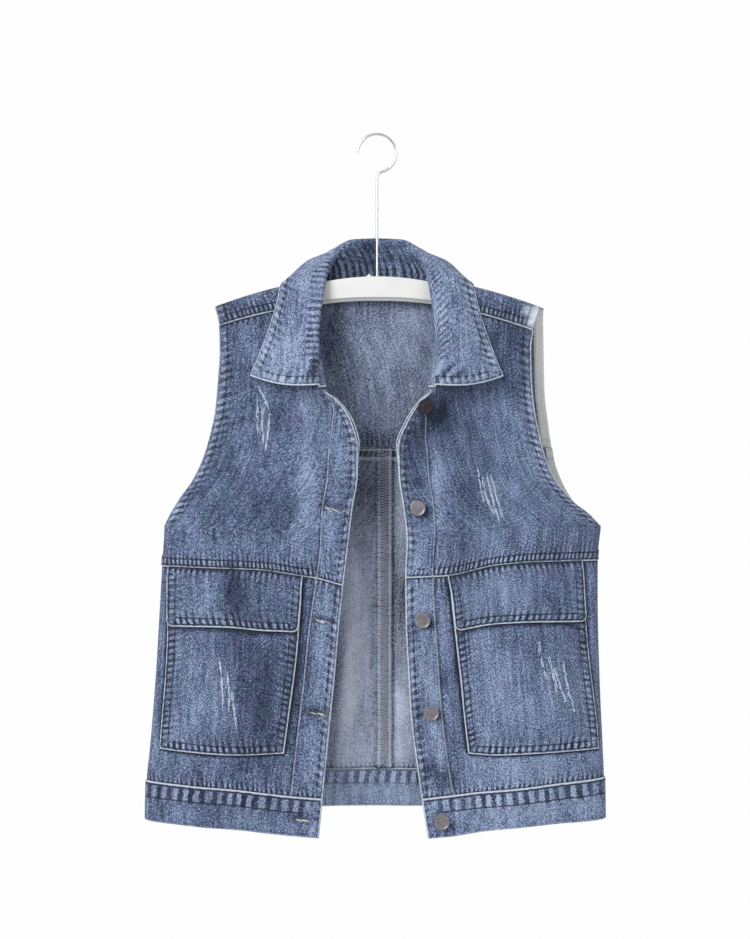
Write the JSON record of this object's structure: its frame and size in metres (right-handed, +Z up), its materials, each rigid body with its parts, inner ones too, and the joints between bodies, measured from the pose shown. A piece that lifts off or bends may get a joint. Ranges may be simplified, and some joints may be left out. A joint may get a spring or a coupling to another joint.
{
  "type": "denim vest on a hanger",
  "caption": "Sleeveless faded denim vest with a collar, flap patch pockets and a waistband, hanging open on a flat white hanger with a wire hook.",
  "frame": {"origin": "inside of the hanger hook's crown, where a rail carries it", "axes": "+Z up, -Y out of the vest's front, +X towards the wearer's left"},
  "size_m": [0.5117, 0.0884, 0.7775],
  "materials": {
    "denim": "stone-washed cotton twill, matte",
    "denim_reverse": "paler reverse of the twill, matte",
    "button_metal": "worn grey plated metal, satin",
    "hanger_white": "white, satin gloss",
    "hook_steel": "bright wire"
  },
  "bodies": {
    "root": {"yoke": "denim", "front_upper_right": "denim", "front_upper_left": "denim", "front_lower_right": "denim", "front_lower_left": "denim", "front_facing_right": "denim_reverse", "front_facing_left": "denim_reverse", "pocket_right": "denim", "pocket_left": "denim", "pocket_flap_right": "denim", "pocket_flap_left": "denim", "waistband_front_right": "denim", "waistband_front_left": "denim", "waistband_back": "denim", "back_right": "denim", "back_left": "denim", "collar": "denim", "button_1": "button_metal", "button_2": "button_metal", "button_3": "button_metal", "button_4": "button_metal", "button_5": "button_metal", "hanger_board": "hanger_white", "hanger_hook": "hook_steel"}
  },
  "joints": []
}
